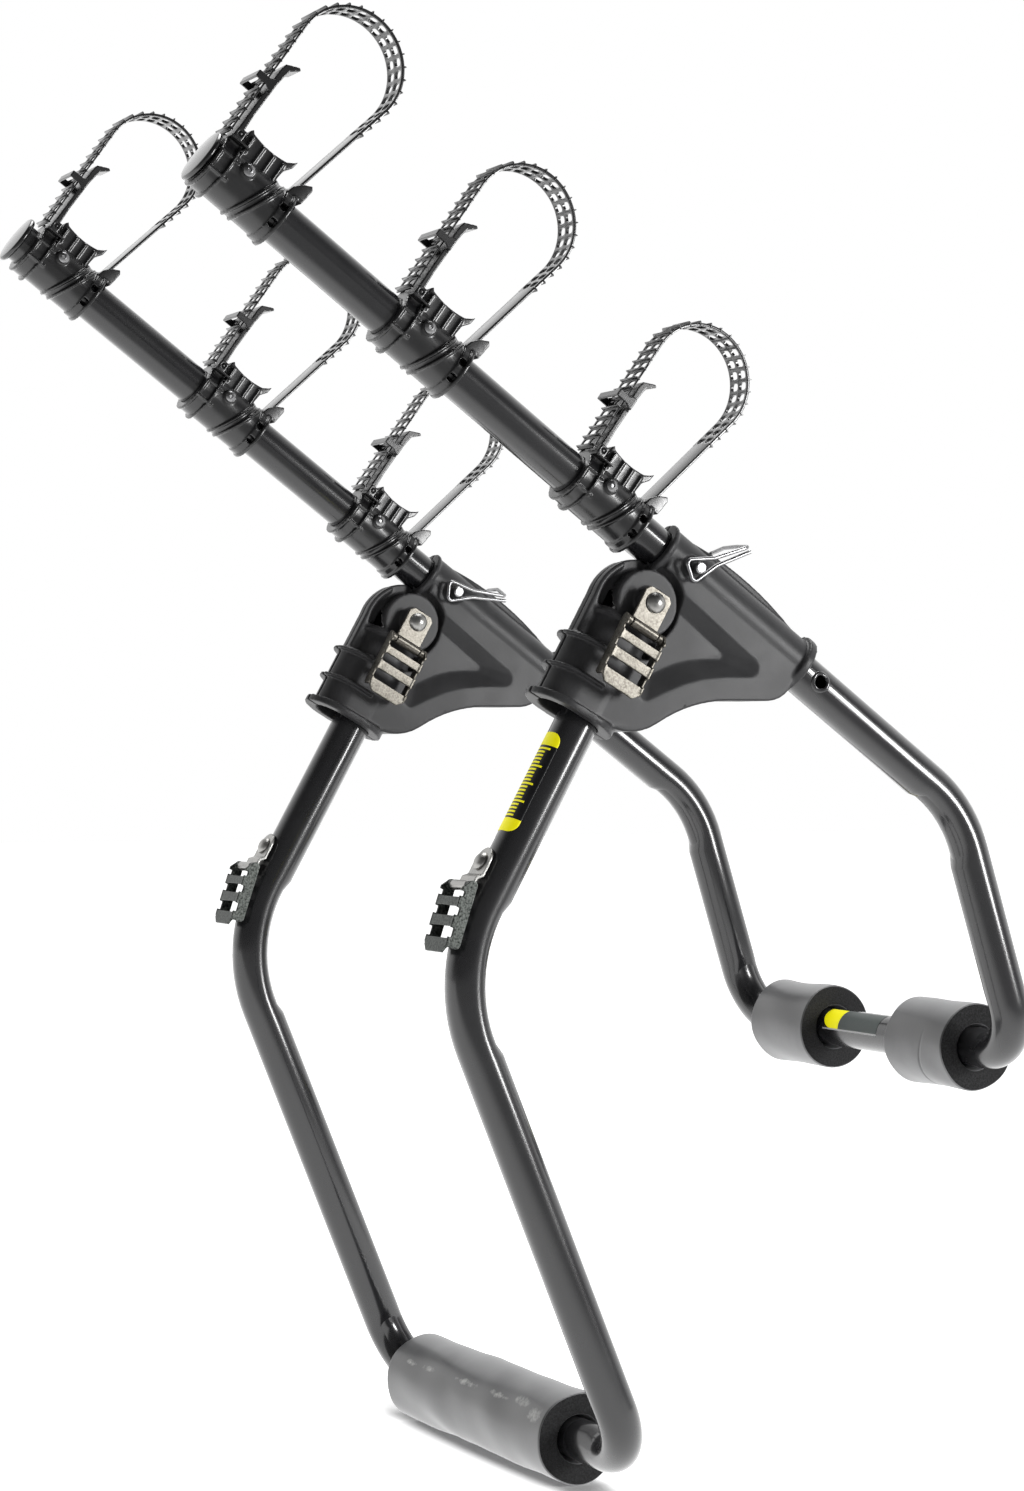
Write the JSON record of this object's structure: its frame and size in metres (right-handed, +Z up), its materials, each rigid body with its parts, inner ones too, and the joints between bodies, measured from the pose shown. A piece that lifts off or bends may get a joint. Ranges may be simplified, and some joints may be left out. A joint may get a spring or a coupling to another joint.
{
  "type": "trunk mounted bike rack",
  "caption": "Trunk mounted bike rack: bent tube frames joined by moulded hubs, foam rolls that bear on the car, arms with strap cradles for bikes and zinc webbing buckles.",
  "frame": {"origin": "middle of the lower crossbar, on its axis", "axes": "+X towards the car, +Y to the left side of the rack, +Z up"},
  "size_m": [0.661, 0.4352, 0.973],
  "materials": {
    "frame_paint": "gloss black powder coat",
    "hub": "matt moulded, fine grain",
    "cradle": "satin moulded",
    "cap": "satin",
    "strap": "satin",
    "foam": "smooth skinned closed-cell foam",
    "zinc": "yellow zinc plating",
    "bright": "bright zinc wire and pins",
    "bolt": "zinc plated"
  },
  "bodies": {
    "rack": {"upper_frame_tube": "frame_paint", "upper_pad_left": "foam", "upper_pad_right": "foam", "arm_cap_left": "cap", "arm_cap_right": "cap", "cradle_screws": "bolt", "hub_left_outer": "hub", "hub_left_inner": "hub", "hub_right_outer": "hub", "hub_right_inner": "hub", "pivot_bolt_left": "bolt", "pivot_bolt_right": "bolt", "cradle_left_1": "cradle", "cradle_left_2": "cradle", "cradle_left_3": "cradle", "cradle_right_1": "cradle", "cradle_right_2": "cradle", "cradle_right_3": "cradle", "strap_left_1": "strap", "strap_left_2": "strap", "strap_left_3": "strap", "strap_right_1": "strap", "strap_right_2": "strap", "strap_right_3": "strap"},
    "lower_frame": {"lower_frame_tube": "frame_paint", "lower_pad": "foam", "leg_buckle_bolts": "bolt"},
    "pin_left": {"hitch_pin_left": "bright", "pin_bail_left": "bright"},
    "tab_left_outer": {"buckle_tab_left_outer": "zinc"},
    "frame_left_outer": {"buckle_frame_left_outer": "zinc"},
    "tab_left_inner": {"buckle_tab_left_inner": "zinc"},
    "frame_left_inner": {"buckle_frame_left_inner": "zinc"},
    "tab_left_leg": {"buckle_tab_left_leg": "zinc"},
    "frame_left_leg": {"buckle_frame_left_leg": "zinc"},
    "clip_left_1": {"clip_left_1": "cradle"},
    "clip_left_2": {"clip_left_2": "cradle"},
    "clip_left_3": {"clip_left_3": "cradle"},
    "pin_right": {"hitch_pin_right": "bright", "pin_bail_right": "bright"},
    "tab_right_outer": {"buckle_tab_right_outer": "zinc"},
    "frame_right_outer": {"buckle_frame_right_outer": "zinc"},
    "tab_right_inner": {"buckle_tab_right_inner": "zinc"},
    "frame_right_inner": {"buckle_frame_right_inner": "zinc"},
    "tab_right_leg": {"buckle_tab_right_leg": "zinc"},
    "frame_right_leg": {"buckle_frame_right_leg": "zinc"},
    "clip_right_1": {"clip_right_1": "cradle"},
    "clip_right_2": {"clip_right_2": "cradle"},
    "clip_right_3": {"clip_right_3": "cradle"}
  },
  "joints": [
    {"name": "lower_frame_swing", "type": "hinge", "parent": "rack", "child": "lower_frame", "pos_m": [0.00077, 0, 0.56557], "axis": [0, 1, 0], "range_deg": [0, 9]},
    {"name": "pin_swivel_left", "type": "hinge", "parent": "rack", "child": "pin_left", "pos_m": [0.03473, 0.182, 0.58941], "axis": [0, -1, 0], "range_deg": [0, 85]},
    {"name": "tab_left_outer_swivel", "type": "hinge", "parent": "rack", "child": "tab_left_outer", "pos_m": [0.00077, 0.2073, 0.56557], "axis": [0, 1, 0], "range_deg": [-20, 20]},
    {"name": "frame_left_outer_hinge", "type": "hinge", "parent": "tab_left_outer", "child": "frame_left_outer", "pos_m": [-0.00905, 0.2108, 0.54815], "axis": [0.8712, 0, -0.4909], "range_deg": [0, 70]},
    {"name": "tab_left_inner_swivel", "type": "hinge", "parent": "rack", "child": "tab_left_inner", "pos_m": [0.00077, 0.1567, 0.56557], "axis": [0, 1, 0], "range_deg": [-20, 20]},
    {"name": "frame_left_inner_hinge", "type": "hinge", "parent": "tab_left_inner", "child": "frame_left_inner", "pos_m": [-0.00905, 0.1532, 0.54815], "axis": [-0.8712, 0, 0.4909], "range_deg": [0, 70]},
    {"name": "tab_left_leg_swivel", "type": "hinge", "parent": "lower_frame", "child": "tab_left_leg", "pos_m": [-0.11153, 0.182, 0.39642], "axis": [-0.8712, 0, 0.4909], "range_deg": [-20, 20]},
    {"name": "frame_left_leg_hinge", "type": "hinge", "parent": "tab_left_leg", "child": "frame_left_leg", "pos_m": [-0.12718, 0.182, 0.38228], "axis": [0, 1, 0], "range_deg": [0, 70]},
    {"name": "clip_left_1_release", "type": "hinge", "parent": "rack", "child": "clip_left_1", "pos_m": [-0.28143, 0.182, 0.84754], "axis": [0, 1, 0], "range_deg": [0, 4], "stiffness_Nm_per_rad": 0.4},
    {"name": "clip_left_2_release", "type": "hinge", "parent": "rack", "child": "clip_left_2", "pos_m": [-0.15199, 0.182, 0.75349], "axis": [0, 1, 0], "range_deg": [0, 4], "stiffness_Nm_per_rad": 0.4},
    {"name": "clip_left_3_release", "type": "hinge", "parent": "rack", "child": "clip_left_3", "pos_m": [-0.03063, 0.182, 0.66532], "axis": [0, 1, 0], "range_deg": [0, 4], "stiffness_Nm_per_rad": 0.4},
    {"name": "pin_swivel_right", "type": "hinge", "parent": "rack", "child": "pin_right", "pos_m": [0.03473, -0.182, 0.58941], "axis": [0, -1, 0], "range_deg": [-15, 60]},
    {"name": "tab_right_outer_swivel", "type": "hinge", "parent": "rack", "child": "tab_right_outer", "pos_m": [0.00077, -0.2073, 0.56557], "axis": [0, 1, 0], "range_deg": [-20, 20]},
    {"name": "frame_right_outer_hinge", "type": "hinge", "parent": "tab_right_outer", "child": "frame_right_outer", "pos_m": [-0.00905, -0.2108, 0.54815], "axis": [-0.8712, 0, 0.4909], "range_deg": [0, 70]},
    {"name": "tab_right_inner_swivel", "type": "hinge", "parent": "rack", "child": "tab_right_inner", "pos_m": [0.00077, -0.1567, 0.56557], "axis": [0, 1, 0], "range_deg": [-20, 20]},
    {"name": "frame_right_inner_hinge", "type": "hinge", "parent": "tab_right_inner", "child": "frame_right_inner", "pos_m": [-0.00905, -0.1532, 0.54815], "axis": [0.8712, 0, -0.4909], "range_deg": [0, 70]},
    {"name": "tab_right_leg_swivel", "type": "hinge", "parent": "lower_frame", "child": "tab_right_leg", "pos_m": [-0.11153, -0.182, 0.39642], "axis": [-0.8712, 0, 0.4909], "range_deg": [-20, 20]},
    {"name": "frame_right_leg_hinge", "type": "hinge", "parent": "tab_right_leg", "child": "frame_right_leg", "pos_m": [-0.12718, -0.182, 0.38228], "axis": [0, 1, 0], "range_deg": [0, 70]},
    {"name": "clip_right_1_release", "type": "hinge", "parent": "rack", "child": "clip_right_1", "pos_m": [-0.28628, -0.182, 0.85106], "axis": [0, 1, 0], "range_deg": [0, 4], "stiffness_Nm_per_rad": 0.4},
    {"name": "clip_right_2_release", "type": "hinge", "parent": "rack", "child": "clip_right_2", "pos_m": [-0.1625, -0.182, 0.76113], "axis": [0, 1, 0], "range_deg": [0, 4], "stiffness_Nm_per_rad": 0.4},
    {"name": "clip_right_3_release", "type": "hinge", "parent": "rack", "child": "clip_right_3", "pos_m": [-0.03063, -0.182, 0.66532], "axis": [0, 1, 0], "range_deg": [0, 4], "stiffness_Nm_per_rad": 0.4}
  ]
}
